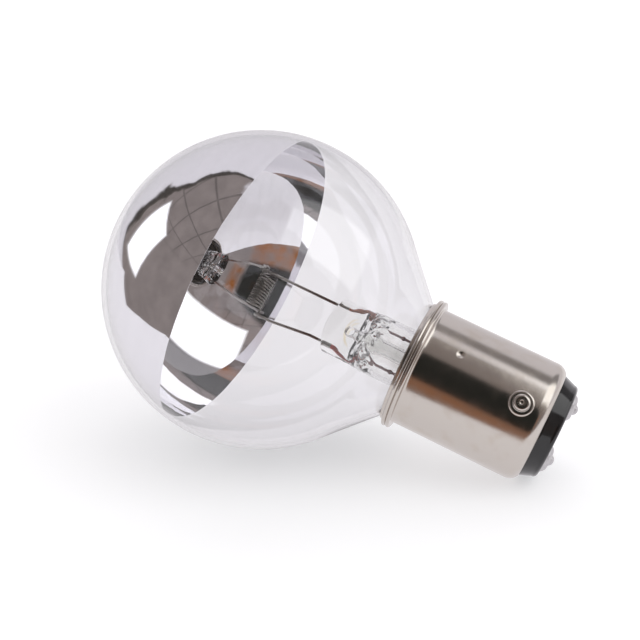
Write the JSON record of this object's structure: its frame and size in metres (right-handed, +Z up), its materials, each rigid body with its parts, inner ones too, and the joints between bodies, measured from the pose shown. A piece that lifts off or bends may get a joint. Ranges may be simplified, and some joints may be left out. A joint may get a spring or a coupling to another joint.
{
  "type": "surgical lamp bulb",
  "caption": "Round clear glass filament lamp with a mirrored crown, a pinched glass stem and a two contact bayonet cap",
  "frame": {"origin": "middle of the bounding box in X and Y, on the surface that the lamp lies on", "axes": "+Z up from the surface, +X towards the cap along the lamp's lean, +Y away from the front bayonet pin"},
  "size_m": [0.06, 0.04, 0.04],
  "materials": {
    "globe_glass": "clear, blown",
    "stem_glass": "clear lead glass",
    "mirror_film": "silvered",
    "tungsten": "drawn wire, dark grey",
    "nickel_wire": "drawn wire",
    "copper_wire": "oxidised copper",
    "plated_brass": "nickel plated, satin",
    "black_glass": "black glass, glossy",
    "contact_brass": "bright",
    "solder": "soft solder, satin",
    "cement": "matt, baked"
  },
  "bodies": {
    "root": {"glass_envelope": "globe_glass", "mirror_coating": "mirror_film", "glass_stem": "stem_glass", "exhaust_tube": "stem_glass", "filament": "tungsten", "inner_lead_upper": "nickel_wire", "inner_lead_lower": "nickel_wire", "seal_wire_upper": "copper_wire", "seal_wire_lower": "copper_wire", "outer_lead_upper": "nickel_wire", "outer_lead_lower": "nickel_wire", "cap_shell": "plated_brass", "bayonet_pin_front": "plated_brass", "bayonet_pin_back": "plated_brass", "insulator": "black_glass", "contact_plate_upper": "contact_brass", "contact_plate_lower": "contact_brass", "solder_contact_upper": "solder", "solder_contact_lower": "solder", "basing_cement": "cement"}
  },
  "joints": []
}
